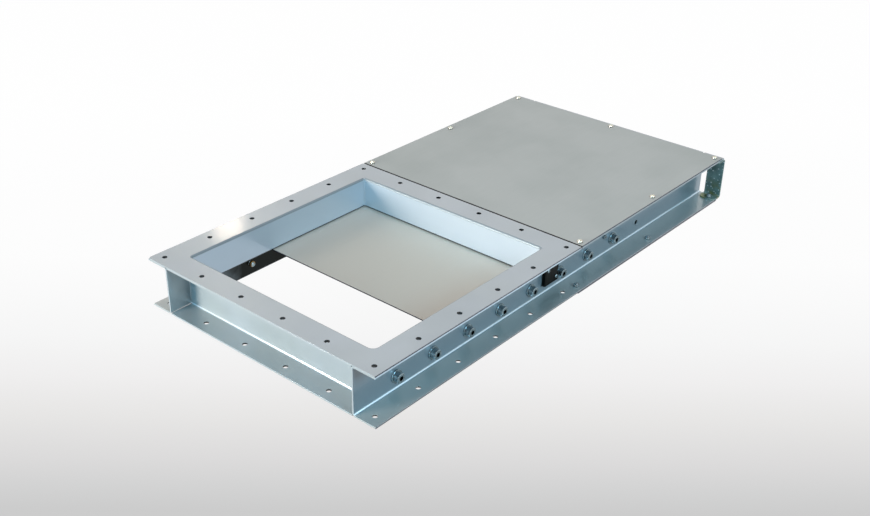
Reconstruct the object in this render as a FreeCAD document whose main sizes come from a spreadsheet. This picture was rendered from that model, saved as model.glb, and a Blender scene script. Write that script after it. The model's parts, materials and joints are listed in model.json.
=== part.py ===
import FreeCAD, Part
import os
import Sketcher

# Slide valve for a square duct: a flanged frame of folded channels, an inlet ring with a skirt,
# and a blade that runs on side rollers from the duct opening into a flat housing behind it.
# Origin: centre of the duct on the underside of the lower flange. +X points from the duct to the
# housing, +Y to the left and +Z up. All sizes are in millimetres.

SIZES = {
    # Duct opening, inlet ring and flanges
    "duct_width": 436,
    "ring_sheet": 2,
    "ring_fold": 2,
    "skirt_corner": 3,
    "ring_corner": 5,
    "skirt_gap": 1,
    "flange_reach": 46,
    "flange_edge": 20,
    "flange_hole": 9,
    "hole_steps": 5,
    # Folded channels of the frame
    "channel_height": 94,
    "channel_sheet": 3,
    "bend_radius": 3.5,
    "crossbar_clearance": 3.3,
    "crossbar_setback": 9,
    "rod_hole": 20,
    "rod_height": 50,
    # Housing covers and their screws
    "cover_sheet": 2,
    "bottom_cover_sheet": 3,
    "cover_setback": 0.5,
    "cover_gap": 2,
    "cover_rear_margin": 8,
    "cover_screw_front": 11,
    "cover_screw_rear": 10,
    "cover_screw_edge": 13,
    "screw_diameter": 6,
    "screw_hole": 6.6,
    "screw_head": 10.5,
    "screw_head_height": 3.3,
    "screw_head_bevel": 1.6,
    "screw_socket": 4,
    "screw_socket_depth": 2,
    "screw_end": 2,
    "countersink": 12.6,
    "nut_width": 10,
    "nut_height": 5,
    # Rear corner brackets
    "bracket_sheet": 3,
    "bracket_depth": 30,
    "bracket_rear": 3,
    "bracket_inset": 11.5,
    "bracket_overhang": 2,
    "bracket_corner": 12,
    "bracket_bend": 2,
    # Rollers and their screws
    "roller_count": 8,
    "roller_spacing": 89.2,
    "roller_inset": 47,
    "roller_height": 26.5,
    "roller_diameter": 11,
    "roller_width": 6,
    "roller_bore_clearance": 0.05,
    "roller_side_gap": 0.2,
    "axle_diameter": 6,
    "shank_diameter": 10,
    "shank_hole": 10.6,
    "shank_setback": 0.6,
    "washer_diameter": 24,
    "washer_thickness": 2.5,
    "washer_bore_clearance": 0.05,
    "head_diameter": 18,
    "head_height": 9.5,
    "head_bevel": 1,
    "head_socket": 10,
    "head_socket_depth": 5,
    "clip_diameter": 9,
    "clip_thickness": 0.8,
    "clip_shoulder": 0.5,
    # Blade and the lug that the drive pulls
    "blade_sheet": 2,
    "blade_side_gap": 2,
    "blade_front_lap": 1.5,
    "blade_rear_lap": 27.5,
    "blade_drawn": 188.5,
    "blade_roller_gap": 0.3,
    "blade_skirt_gap": 0.7,
    "blade_end_room": 70,
    "lug_sheet": 3,
    "lug_foot": 20,
    "lug_width": 50,
    "lug_rise": 16,
    "lug_hole": 12,
    "rivet_diameter": 5,
    "rivet_head": 9,
    "rivet_head_height": 2.5,
    "rivet_spacing": 30,
    # Position switch on the right side
    "switch_station": 5,
    "switch_roller_gap": 3,
    "switch_length": 41,
    "switch_height": 42,
    "switch_low": 20,
    "switch_depth": 7,
    "switch_edge": 1.5,
    "switch_plate": 1.5,
    "switch_plate_rim": 1,
    "sensor_width": 14,
    "sensor_window_gap": 1,
    "sensor_setback": 1,
    "socket_outer": 6.5,
    "socket_bore": 4,
    "socket_height": 7,
    "switch_screw_diameter": 4,
    "switch_screw_head": 7,
    "switch_screw_head_height": 2.6,
    "switch_screw_end_margin": 8,
    "switch_screw_edge_margin": 11,
    # Small screw in the right web
    "web_screw_lead": 31,
    "web_screw_height": 41.5,
    "web_screw_diameter": 4,
    "web_screw_head": 8,
    "web_screw_head_height": 5,
    "web_screw_head_bevel": 0.8,
}

# Places worked out from the sizes, each a formula of a second sheet
PLACES = {
    # Across the frame, measured from the duct's centre
    "duct_side": "=Sizes.duct_width / 2",
    "skirt_back": "=duct_side + Sizes.ring_sheet",
    "web_face": "=skirt_back + Sizes.skirt_gap",
    "web_back": "=web_face + Sizes.channel_sheet",
    "flange_tip": "=web_face + Sizes.channel_sheet + Sizes.flange_reach",
    "hole_line": "=flange_tip - Sizes.flange_edge",
    "hole_pitch": "=2 * hole_line / Sizes.hole_steps",
    "fold_radius": "=Sizes.ring_fold + Sizes.ring_sheet",
    "corner_radius": "=Sizes.skirt_corner + Sizes.ring_sheet",
    "outer_bend": "=Sizes.bend_radius + Sizes.channel_sheet",
    # Levels
    "ring_top": "=Sizes.channel_height + Sizes.ring_sheet",
    "upper_inside": "=Sizes.channel_height - Sizes.channel_sheet",
    "blade_low": "=Sizes.roller_height + Sizes.roller_diameter / 2 + Sizes.blade_roller_gap",
    "blade_high": "=blade_low + Sizes.blade_sheet",
    "skirt_low": "=blade_high + Sizes.blade_skirt_gap",
    "crossbar_high": "=blade_low - Sizes.crossbar_clearance",
    # Along the frame
    "frame_front": "=-flange_tip",
    "blade_closed": "=-duct_side - Sizes.blade_front_lap",
    "blade_length": "=Sizes.duct_width + Sizes.blade_front_lap + Sizes.blade_rear_lap",
    "blade_front": "=blade_closed + Sizes.blade_drawn",
    "blade_rear": "=blade_front + blade_length",
    "blade_half": "=web_face - Sizes.blade_side_gap",
    "rear_web_front": "=duct_side + blade_length + Sizes.blade_end_room",
    "rear_web_back": "=rear_web_front + Sizes.channel_sheet",
    "frame_rear": "=rear_web_back + Sizes.flange_reach",
    "frame_length": "=frame_rear - frame_front",
    "cover_front": "=flange_tip + Sizes.cover_gap",
    "cover_rear": "=frame_rear - Sizes.cover_rear_margin",
    "cover_half": "=flange_tip - Sizes.cover_setback",
    "screw_front": "=cover_front + Sizes.cover_screw_front",
    "screw_rear": "=cover_rear - Sizes.cover_screw_rear",
    "screw_pitch": "=(screw_rear - screw_front) / 2",
    "screw_line": "=flange_tip - Sizes.cover_screw_edge",
    # Rear corner brackets
    "bracket_back": "=frame_rear + Sizes.bracket_rear",
    "bracket_front": "=bracket_back - Sizes.bracket_depth",
    "bracket_inner": "=web_back + Sizes.bracket_inset",
    "bracket_outer": "=flange_tip + Sizes.bracket_overhang",
    # Roller screws, from outside to inside
    "first_roller": "=-web_face + Sizes.roller_inset",
    "washer_outer": "=web_back + Sizes.washer_thickness",
    "head_outer": "=washer_outer + Sizes.head_height",
    "shank_inner": "=web_face - Sizes.shank_setback",
    "roller_outer": "=shank_inner - Sizes.roller_side_gap",
    "roller_inner": "=roller_outer - Sizes.roller_width",
    "clip_outer": "=roller_inner - Sizes.roller_side_gap",
    "clip_inner": "=clip_outer - Sizes.clip_thickness",
    "clip_seat_radius": "=Sizes.axle_diameter / 2 - Sizes.clip_shoulder",
    "crossbar_leg_half": "=web_face - Sizes.crossbar_setback",
    # Position switch, ahead of the roller screw that it stands beside
    "switch_rear": "=first_roller + Sizes.switch_station * Sizes.roller_spacing"
                   " - Sizes.washer_diameter / 2 - Sizes.switch_roller_gap",
    "switch_middle": "=switch_rear - Sizes.switch_length / 2",
    "switch_centre_height": "=Sizes.switch_low + Sizes.switch_height / 2",
    "switch_plate_outer": "=web_back + Sizes.switch_plate",
    "switch_outer": "=switch_plate_outer + Sizes.switch_depth",
    "switch_screw_reach": "=Sizes.switch_length / 2 - Sizes.switch_screw_end_margin",
    "switch_screw_rise": "=Sizes.switch_height / 2 - Sizes.switch_screw_edge_margin",
    "sensor_height": "=(blade_low + blade_high) / 2",
    "sensor_face": "=web_face + Sizes.sensor_setback",
    # Small screw, ahead of the last roller screw
    "web_screw_place": "=first_roller + (Sizes.roller_count - 1) * Sizes.roller_spacing"
                       " - Sizes.web_screw_lead",
}

RIGHT = "-1"
LEFT = "1"

document = FreeCAD.newDocument("SlideValve")


def fill_sheet(name, cells):
    sheet = document.addObject("Spreadsheet::Sheet", name)
    for row, (alias, content) in enumerate(cells.items(), 1):
        sheet.set(f"A{row}", alias.replace("_", " "))
        sheet.set(f"B{row}", str(content))
        sheet.setAlias(f"B{row}", alias)
    document.recompute()
    return sheet


fill_sheet("Sizes", SIZES)
places = fill_sheet("Places", PLACES)


def number(formula):
    return float(places.evalExpression(str(formula)))


def near(first, second):
    return abs(first - second) < 0.001


sub_parts = []


def new_body(label):
    body = document.addObject("PartDesign::Body", label)
    body.Label = label
    body.Placement = FreeCAD.Placement()
    sub_parts.append(body)
    return body


def origin_feature(body, role):
    return [item for item in body.Origin.OriginFeatures if item.Role == role][0]


def new_sketch(body, name, plane, x="0", y="0", z="0"):
    # The sketch's own origin lies at the model point x, y, z
    sketch = body.newObject("Sketcher::SketchObject", name)
    sketch.AttachmentSupport = (origin_feature(body, plane + "_Plane"), [""])
    sketch.MapMode = "FlatFace"
    offset = {"XY": (x, y, z), "XZ": (x, z, f"-1 * ({y})"), "YZ": (y, z, x)}[plane]
    for direction, formula in zip("xyz", offset):
        sketch.setExpression(f"AttachmentOffset.Base.{direction}", formula)
    return sketch


def outline(sketch, corners):
    # A closed run of straight lines whose corners are bound to formulas
    first = sketch.GeometryCount
    count = len(corners)
    spots = [FreeCAD.Vector(number(across), number(up), 0) for across, up in corners]
    for index in range(count):
        line = Part.LineSegment(spots[index], spots[(index + 1) % count])
        sketch.addGeometry(line, False)
    for index in range(count):
        following = first + (index + 1) % count
        sketch.addConstraint(Sketcher.Constraint("Coincident", first + index, 2, following, 1))
    for index, corner in enumerate(corners):
        for kind, formula in zip(("DistanceX", "DistanceY"), corner):
            constraint = Sketcher.Constraint(kind, first + index, 1, number(formula))
            place = sketch.addConstraint(constraint)
            sketch.setExpression(f"Constraints[{place}]", formula)


def rectangle(sketch, left, right, low, high):
    outline(sketch, [(left, low), (right, low), (right, high), (left, high)])


def square(sketch, half):
    rectangle(sketch, f"-1 * {half}", half, f"-1 * {half}", half)


def circle(sketch, diameter):
    shape = Part.Circle(FreeCAD.Vector(0, 0, 0), FreeCAD.Vector(0, 0, 1), number(diameter) / 2)
    index = sketch.addGeometry(shape, False)
    sketch.addConstraint(Sketcher.Constraint("Coincident", index, 3, -1, 1))
    place = sketch.addConstraint(Sketcher.Constraint("Radius", index, number(diameter) / 2))
    sketch.setExpression(f"Constraints[{place}]", f"{diameter} / 2")


def hexagon(sketch, width):
    corners = []
    for turn in range(0, 360, 60):
        reach = f"{width} / sqrt(3)"
        corners.append((f"{reach} * cos({turn})", f"{reach} * sin({turn})"))
    outline(sketch, corners)


def pad(body, sketch, length, both_ways=False, backwards=False):
    feature = body.newObject("PartDesign::Pad", sketch.Name + "Pad")
    feature.Profile = sketch
    feature.setExpression("Length", length)
    feature.Midplane = both_ways
    feature.Reversed = backwards
    document.recompute()
    return feature


def pocket(body, sketch, depth=None, backwards=False):
    # Without a depth the cut goes through everything on both sides of the sketch
    before = body.Shape.Volume
    feature = body.newObject("PartDesign::Pocket", sketch.Name + "Pocket")
    feature.Profile = sketch
    if depth is None:
        feature.Type = "ThroughAll"
        feature.Midplane = True
    else:
        feature.setExpression("Length", depth)
        feature.Reversed = backwards
    document.recompute()
    if not body.Shape.Volume < before:
        raise RuntimeError(f"{feature.Name} cuts nothing")
    return feature


def turned(body, name, profile, x, y, z, plane="XZ"):
    # A solid of revolution about the sketch's upright axis through x, y, z
    sketch = new_sketch(body, name, plane, x, y, z)
    outline(sketch, profile)
    feature = body.newObject("PartDesign::Revolution", name + "Turned")
    feature.Profile = sketch
    feature.ReferenceAxis = (sketch, ["V_Axis"])
    feature.Angle = 360
    document.recompute()
    return feature


def bored(body, name, profile, x, y, z, plane="XZ"):
    before = body.Shape.Volume
    sketch = new_sketch(body, name, plane, x, y, z)
    outline(sketch, profile)
    feature = body.newObject("PartDesign::Groove", name + "Bored")
    feature.Profile = sketch
    feature.ReferenceAxis = (sketch, ["V_Axis"])
    feature.Angle = 360
    document.recompute()
    if not body.Shape.Volume < before:
        raise RuntimeError(f"{feature.Name} cuts nothing")
    return feature


def row(body, features, axis, count, pitch):
    # Repeats features along an axis of the frame
    if round(number(count)) < 2:
        return
    pattern = body.newObject("PartDesign::LinearPattern", features[-1].Name + "Row")
    pattern.Originals = features
    pattern.Direction = (origin_feature(body, axis + "_Axis"), [""])
    pattern.Mode = 1
    pattern.setExpression("Occurrences", count)
    pattern.setExpression("Offset", pitch)
    body.Tip = pattern
    document.recompute()


def edges_at(feature, x=None, y=None, z=None):
    # Names of the edges that keep to the given coordinates from end to end
    wanted = [(axis, number(formula)) for axis, formula in (("x", x), ("y", y), ("z", z)) if formula]
    names = []
    for index, edge in enumerate(feature.Shape.Edges, 1):
        ends = [vertex.Point for vertex in edge.Vertexes]
        if all(near(getattr(end, axis), place) for end in ends for axis, place in wanted):
            names.append(f"Edge{index}")
    return names


def rounded(body, base, edges, radius):
    feature = body.newObject("PartDesign::Fillet", base.Name + "Rounded")
    feature.Base = (base, edges)
    feature.setExpression("Radius", radius)
    document.recompute()
    return feature


def drill(body, name, diameter, x="0", y="0", z="0", plane="XY", depth=None, backwards=False):
    sketch = new_sketch(body, name, plane, x, y, z)
    circle(sketch, diameter)
    return pocket(body, sketch, depth, backwards)


# Inlet ring: a flange sheet folded down into a skirt around the duct
def make_inlet_ring():
    body = new_body("inlet_ring")
    flange = new_sketch(body, "RingFlange", "XY", z="Sizes.channel_height")
    square(flange, "Places.flange_tip")
    pad(body, flange, "Sizes.ring_sheet")
    skirt = new_sketch(body, "RingSkirt", "XY", z="Places.skirt_low")
    square(skirt, "Places.skirt_back")
    pad(body, skirt, "Places.ring_top - Places.skirt_low")
    duct = new_sketch(body, "RingDuct", "XY", z="Places.ring_top")
    square(duct, "Places.duct_side")
    shape = pocket(body, duct)
    inside = "Places.duct_side"
    outside = "Places.skirt_back"
    for half, radius in ((inside, "Sizes.skirt_corner"), (outside, "Places.corner_radius")):
        corners = []
        for x_side in (f"-1 * {half}", half):
            for y_side in (f"-1 * {half}", half):
                corners += edges_at(shape, x=x_side, y=y_side)
        shape = rounded(body, shape, corners, radius)
    tips = []
    for x_side in ("-1 * Places.flange_tip", "Places.flange_tip"):
        tips += edges_at(shape, x=x_side, y="Places.flange_tip")
    shape = rounded(body, shape, tips, "Sizes.ring_corner")
    fold = edges_at(shape, x=inside, z="Places.ring_top")
    shape = rounded(body, shape, fold, "Places.fold_radius")
    under_fold = edges_at(shape, x=outside, z="Sizes.channel_height")
    shape = rounded(body, shape, under_fold, "Sizes.ring_fold")
    for name, x in (("RingFrontHoles", "-1 * Places.hole_line"), ("RingRearHoles", "Places.hole_line")):
        hole = drill(body, name, "Sizes.flange_hole", x, "-1 * Places.hole_line", "Places.ring_top")
        row(body, [hole], "Y", "Sizes.hole_steps + 1", "Places.hole_pitch")
    for name, y in (("RingRightHoles", "-1 * Places.hole_line"), ("RingLeftHoles", "Places.hole_line")):
        x = "-1 * Places.hole_line + Places.hole_pitch"
        hole = drill(body, name, "Sizes.flange_hole", x, y, "Places.ring_top")
        row(body, [hole], "X", "Sizes.hole_steps - 1", "Places.hole_pitch")


def channel_outline(inner, outer, tip):
    low_inside = "Sizes.channel_sheet"
    high_inside = "Places.upper_inside"
    high = "Sizes.channel_height"
    return [(inner, "0"), (tip, "0"), (tip, low_inside), (outer, low_inside),
            (outer, high_inside), (tip, high_inside), (tip, high), (inner, high)]


def fold_channel(body, shape, axis, inner, outer):
    # Rounds the outside and the inside of both bends of a channel
    outside = []
    for height in ("0", "Sizes.channel_height"):
        outside += edges_at(shape, **{axis: inner, "z": height})
    shape = rounded(body, shape, outside, "Places.outer_bend")
    inside = []
    for height in ("Sizes.channel_sheet", "Places.upper_inside"):
        inside += edges_at(shape, **{axis: outer, "z": height})
    return rounded(body, shape, inside, "Sizes.bend_radius")


# Side channels: they run the whole length and carry the rollers
def make_side_channel(side, sign):
    body = new_body(f"side_channel_{side}")
    inner = f"{sign} * Places.web_face"
    outer = f"{sign} * Places.web_back"
    section = new_sketch(body, f"{side}ChannelSection", "YZ", x="Places.frame_front")
    outline(section, channel_outline(inner, outer, f"{sign} * Places.flange_tip"))
    shape = pad(body, section, "Places.frame_length")
    fold_channel(body, shape, "y", inner, outer)
    flange_hole = drill(body, f"{side}FlangeHoles", "Sizes.flange_hole",
                        "-1 * Places.hole_line", f"{sign} * Places.hole_line")
    row(body, [flange_hole], "X", "Sizes.hole_steps + 1", "Places.hole_pitch")
    cover_hole = drill(body, f"{side}CoverHoles", "Sizes.screw_hole",
                       "Places.screw_front", f"{sign} * Places.screw_line")
    row(body, [cover_hole], "X", "3", "Places.screw_pitch")
    roller_hole = drill(body, f"{side}RollerHoles", "Sizes.shank_hole",
                        "Places.first_roller", inner, "Sizes.roller_height", "XZ")
    row(body, [roller_hole], "X", "Sizes.roller_count + 1", "Sizes.roller_spacing")
    return body


def add_switch_openings(body):
    window = new_sketch(body, "SensorWindow", "XZ", "Places.switch_middle",
                        "-1 * Places.web_back", "Places.sensor_height")
    square(window, "(Sizes.sensor_width / 2 + Sizes.sensor_window_gap)")
    pocket(body, window)
    drill_switch_holes(body, "WebSwitchHoles", "-1 * Places.web_back")


def drill_web_screw_hole(body):
    drill(body, "WebScrewHole", "Sizes.web_screw_diameter + 0.4", "Places.web_screw_place",
          "-1 * Places.web_back", "Sizes.web_screw_height", "XZ")


def drill_switch_holes(body, name, y):
    for end, direction in (("Front", "-1"), ("Rear", "1")):
        x = f"Places.switch_middle + {direction} * Places.switch_screw_reach"
        z = f"Places.switch_centre_height - {direction} * Places.switch_screw_rise"
        drill(body, name + end, "Sizes.switch_screw_diameter + 0.4", x, y, z, "XZ")


# Front and rear channels: they close the frame between the two webs
def make_cross_channel(label, inner, outer, tip):
    body = new_body(label)
    section = new_sketch(body, f"{label}_section", "XZ")
    outline(section, channel_outline(inner, outer, tip))
    shape = pad(body, section, "2 * Places.web_face", both_ways=True)
    fold_channel(body, shape, "x", inner, outer)
    return body


def make_front_channel():
    body = make_cross_channel("front_channel", "-1 * Places.web_face", "-1 * Places.web_back",
                              "Places.frame_front")
    hole = drill(body, "FrontChannelHoles", "Sizes.flange_hole",
                 "-1 * Places.hole_line", "-1 * Places.hole_line + Places.hole_pitch")
    row(body, [hole], "Y", "Sizes.hole_steps - 1", "Places.hole_pitch")


def make_rear_channel():
    body = make_cross_channel("rear_channel", "Places.rear_web_front", "Places.rear_web_back",
                              "Places.frame_rear")
    drill(body, "RearScrewHole", "Sizes.screw_hole", "Places.screw_rear")
    drill(body, "RodHole", "Sizes.rod_hole", "Places.rear_web_front", "0", "Sizes.rod_height", "YZ")


# Crossbar: an angle that closes the lower flange behind the duct, its leg clear of the rollers
def make_crossbar():
    body = new_body("rear_lower_crossbar")
    inner = "Places.web_face"
    outer = "Places.web_back"
    section = new_sketch(body, "CrossbarSection", "XZ")
    outline(section, [(inner, "0"), ("Places.flange_tip", "0"),
                      ("Places.flange_tip", "Sizes.channel_sheet"), (outer, "Sizes.channel_sheet"),
                      (outer, "Places.crossbar_high"), (inner, "Places.crossbar_high")])
    shape = pad(body, section, "2 * Places.web_face", both_ways=True)
    shape = rounded(body, shape, edges_at(shape, x=inner, z="0"), "Places.outer_bend")
    rounded(body, shape, edges_at(shape, x=outer, z="Sizes.channel_sheet"), "Sizes.bend_radius")
    ends = new_sketch(body, "CrossbarEnds", "YZ", x=inner)
    for sign in (RIGHT, LEFT):
        near_end = f"{sign} * Places.crossbar_leg_half"
        far_end = f"{sign} * (Places.web_face + 1)"
        rectangle(ends, near_end, far_end, "Places.outer_bend", "Places.crossbar_high + 1")
    pocket(body, ends)
    hole = drill(body, "CrossbarHoles", "Sizes.flange_hole",
                 "Places.hole_line", "-1 * Places.hole_line + Places.hole_pitch")
    row(body, [hole], "Y", "Sizes.hole_steps - 1", "Places.hole_pitch")


# Screw stations of the covers: two ahead on each side, one in each rear corner, one mid rear.
# The corner screws also hold the corner brackets, so they clamp one sheet more.
def cover_stations():
    channel = "Sizes.channel_sheet"
    corner = "(Sizes.channel_sheet + Sizes.bracket_sheet)"
    stations = []
    for side, sign in (("right", RIGHT), ("left", LEFT)):
        line = f"{sign} * Places.screw_line"
        stations.append((f"{side}_row", "Places.screw_front", line, "2", channel))
        stations.append((f"{side}_corner", "Places.screw_rear", line, "1", corner))
    stations.append(("rear", "Places.screw_rear", "0", "1", channel))
    return stations


def cover_plate(label, z, thickness):
    body = new_body(label)
    sheet = new_sketch(body, f"{label}_sheet", "XY", z=z)
    rectangle(sheet, "Places.cover_front", "Places.cover_rear",
              "-1 * Places.cover_half", "Places.cover_half")
    pad(body, sheet, thickness)
    return body


def make_top_cover():
    body = cover_plate("housing_top_cover", "Sizes.channel_height", "Sizes.cover_sheet")
    for name, x, y, count, _ in cover_stations():
        hole = drill(body, f"top_{name}_hole", "Sizes.screw_hole", x, y, "Sizes.channel_height")
        row(body, [hole], "X", count, "Places.screw_pitch")


# The bottom cover is thick enough to take the screws flush
def make_bottom_cover():
    low = "-1 * Sizes.bottom_cover_sheet"
    body = cover_plate("housing_bottom_cover", low, "Sizes.bottom_cover_sheet")
    sink = "(Sizes.countersink - Sizes.screw_hole) / 2"
    through = f"{sink} + Sizes.bottom_cover_sheet"
    cone = [("0", "0"), ("Sizes.countersink / 2", "0"), ("Sizes.screw_hole / 2", sink),
            ("Sizes.screw_hole / 2", through), ("0", through)]
    for name, x, y, count, _ in cover_stations():
        hole = bored(body, f"bottom_{name}_hole", cone, x, y, low)
        row(body, [hole], "X", count, "Places.screw_pitch")


# Top cover screws: domed socket heads, with nuts under the flange
def make_top_screws():
    body = new_body("top_cover_screws")
    head = "Sizes.screw_head / 2"
    shank = "Sizes.screw_diameter / 2"
    for name, x, y, count, clamped in cover_stations():
        tip = f"-1 * (Sizes.cover_sheet + {clamped} + Sizes.nut_height + Sizes.screw_end)"
        profile = [("0", tip), (shank, tip), (shank, "0"), (head, "0"),
                   (head, "Sizes.screw_head_height - Sizes.screw_head_bevel"),
                   (f"{head} - 1.2 * Sizes.screw_head_bevel", "Sizes.screw_head_height"),
                   ("0", "Sizes.screw_head_height")]
        screw = turned(body, f"top_{name}_screw", profile, x, y, "Places.ring_top")
        socket = new_sketch(body, f"top_{name}_socket", "XY", x, y,
                            "Places.ring_top + Sizes.screw_head_height")
        hexagon(socket, "Sizes.screw_socket")
        hollow = pocket(body, socket, "Sizes.screw_socket_depth")
        row(body, [screw, hollow], "X", count, "Places.screw_pitch")


def make_bottom_screws():
    body = new_body("bottom_cover_screws")
    head = "Sizes.countersink / 2 - 0.2"
    shank = "Sizes.screw_diameter / 2"
    low = "-1 * Sizes.bottom_cover_sheet"
    for name, x, y, count, clamped in cover_stations():
        tip = f"Sizes.bottom_cover_sheet + {clamped} + Sizes.nut_height + Sizes.screw_end"
        profile = [("0", "0.1"), (head, "0.1"), (shank, f"{head} - {shank} + 0.1"),
                   (shank, f"{tip} - 0.8"), (f"{shank} - 0.8", tip), ("0", tip)]
        screw = turned(body, f"bottom_{name}_screw", profile, x, y, low)
        socket = new_sketch(body, f"bottom_{name}_socket", "XY", x, y, f"{low} + 0.1")
        hexagon(socket, "Sizes.screw_socket")
        hollow = pocket(body, socket, "Sizes.screw_socket_depth", backwards=True)
        row(body, [screw, hollow], "X", count, "Places.screw_pitch")


def make_nuts(label, level, upwards):
    body = new_body(label)
    for name, x, y, count, clamped in cover_stations():
        seat = f"{level} + {clamped}" if upwards else f"{level} - {clamped}"
        ring = new_sketch(body, f"{label}_{name}", "XY", x, y, seat)
        hexagon(ring, "Sizes.nut_width")
        circle(ring, "(Sizes.screw_diameter + 0.1)")
        nut = pad(body, ring, "Sizes.nut_height", backwards=not upwards)
        row(body, [nut], "X", count, "Places.screw_pitch")


# Corner brackets: a folded U behind each rear corner, with an open slot to the web's end
def make_end_bracket(side, sign):
    body = new_body(f"end_bracket_{side}")
    inner = f"{sign} * Places.bracket_inner"
    outer = f"{sign} * Places.bracket_outer"
    low = "Sizes.channel_sheet"
    high = "Places.upper_inside"
    low_inside = "Sizes.channel_sheet + Sizes.bracket_sheet"
    high_inside = "Places.upper_inside - Sizes.bracket_sheet"
    back = "Places.bracket_back"
    plate = "Places.bracket_back - Sizes.bracket_sheet"
    front = "Places.bracket_front"
    section = new_sketch(body, f"{side}BracketSection", "XZ", y=inner)
    outline(section, [(front, low), (back, low), (back, high), (front, high), (front, high_inside),
                      (plate, high_inside), (plate, low_inside), (front, low_inside)])
    shape = pad(body, section, "Places.bracket_outer - Places.bracket_inner", backwards=sign == LEFT)
    outside = edges_at(shape, x=back, z=low) + edges_at(shape, x=back, z=high)
    shape = rounded(body, shape, outside, "Sizes.bracket_bend + Sizes.bracket_sheet")
    inside = edges_at(shape, x=plate, z=low_inside) + edges_at(shape, x=plate, z=high_inside)
    shape = rounded(body, shape, inside, "Sizes.bracket_bend")
    tips = edges_at(shape, x=front, y=inner) + edges_at(shape, x=front, y=outer)
    rounded(body, shape, tips, "Sizes.bracket_corner")
    drill(body, f"{side}BracketHole", "Sizes.screw_hole",
          "Places.screw_rear", f"{sign} * Places.screw_line", high)


# Roller screws: socket heads outside, a turned journal for the roller inside the web, and a
# smaller end on which the clip is pressed against the journal's shoulder
def make_roller_screws(side, sign):
    body = new_body(f"roller_screws_{side}")
    head = "Sizes.head_diameter / 2"
    shank = "Sizes.shank_diameter / 2"
    axle = "Sizes.axle_diameter / 2"
    seat = "Places.clip_seat_radius"
    steps = [("0", "Places.head_outer"), (f"{head} - Sizes.head_bevel", "Places.head_outer"),
             (head, "Places.head_outer - Sizes.head_bevel"), (head, "Places.washer_outer"),
             (shank, "Places.washer_outer"), (shank, "Places.shank_inner"),
             (axle, "Places.shank_inner"), (axle, "Places.clip_outer"),
             (seat, "Places.clip_outer"), (seat, "Places.clip_inner"), ("0", "Places.clip_inner")]
    profile = [(radius, f"{sign} * ({reach})") for radius, reach in steps]
    x = "Places.first_roller"
    z = "Sizes.roller_height"
    screw = turned(body, f"{side}RollerScrew", profile, x, "0", z, "XY")
    socket = new_sketch(body, f"{side}RollerSocket", "XZ", x, f"{sign} * Places.head_outer", z)
    hexagon(socket, "Sizes.head_socket")
    hollow = pocket(body, socket, "Sizes.head_socket_depth", backwards=sign == LEFT)
    row(body, [screw, hollow], "X", "Sizes.roller_count", "Sizes.roller_spacing")


def ring_profile(bore, outer, start, end, sign):
    return [(bore, f"{sign} * {start}"), (outer, f"{sign} * {start}"),
            (outer, f"{sign} * {end}"), (bore, f"{sign} * {end}")]


def make_ring_row(label, profile):
    body = new_body(label)
    ring = turned(body, f"{label}_ring", profile, "Places.first_roller", "0",
                  "Sizes.roller_height", "XY")
    row(body, [ring], "X", "Sizes.roller_count", "Sizes.roller_spacing")


def make_roller_washers(side, sign):
    bore = "Sizes.shank_diameter / 2 + Sizes.washer_bore_clearance"
    make_ring_row(f"roller_washers_{side}",
                  ring_profile(bore, "Sizes.washer_diameter / 2", "Places.web_back",
                               "Places.washer_outer", sign))


def make_roller_clips(side, sign):
    make_ring_row(f"roller_clips_{side}",
                  ring_profile("Places.clip_seat_radius", "Sizes.clip_diameter / 2",
                               "Places.clip_inner", "Places.clip_outer", sign))


def make_roller(side, sign, place):
    label = f"roller_{side}_{place + 1}"
    body = new_body(label)
    bore = "Sizes.axle_diameter / 2 + Sizes.roller_bore_clearance"
    profile = ring_profile(bore, "Sizes.roller_diameter / 2", "Places.roller_inner",
                           "Places.roller_outer", sign)
    turned(body, f"{label}_wheel", profile,
           f"Places.first_roller + {place} * Sizes.roller_spacing", "0", "Sizes.roller_height", "XY")


# Blade, shown drawn back as far as in its usual half-open place
def make_blade():
    body = new_body("blade")
    sheet = new_sketch(body, "BladeSheet", "XY", z="Places.blade_low")
    rectangle(sheet, "Places.blade_front", "Places.blade_rear",
              "-1 * Places.blade_half", "Places.blade_half")
    pad(body, sheet, "Sizes.blade_sheet")
    drill_rivet_holes(body, "BladeRivetHoles", "Places.blade_low")


def drill_rivet_holes(body, name, z):
    hole = drill(body, name, "(Sizes.rivet_diameter + 0.1)",
                 "Places.blade_rear - (Sizes.lug_foot + Sizes.lug_sheet) / 2",
                 "-1 * Sizes.rivet_spacing / 2", z)
    row(body, [hole], "Y", "2", "Sizes.rivet_spacing")


def make_blade_lug():
    body = new_body("blade_lug")
    section = new_sketch(body, "LugSection", "XZ")
    front = "Places.blade_rear - Sizes.lug_foot"
    back = "Places.blade_rear"
    upright = "Places.blade_rear - Sizes.lug_sheet"
    foot = "Places.blade_high + Sizes.lug_sheet"
    top = "Sizes.rod_height + Sizes.lug_rise"
    outline(section, [(front, "Places.blade_high"), (back, "Places.blade_high"), (back, top),
                      (upright, top), (upright, foot), (front, foot)])
    shape = pad(body, section, "Sizes.lug_width", both_ways=True)
    shape = rounded(body, shape, edges_at(shape, x=back, z="Places.blade_high"),
                    "2 * Sizes.lug_sheet")
    rounded(body, shape, edges_at(shape, x=upright, z=foot), "Sizes.lug_sheet")
    drill(body, "LugRodHole", "Sizes.lug_hole", back, "0", "Sizes.rod_height", "YZ")
    drill_rivet_holes(body, "LugRivetHoles", foot)


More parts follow.
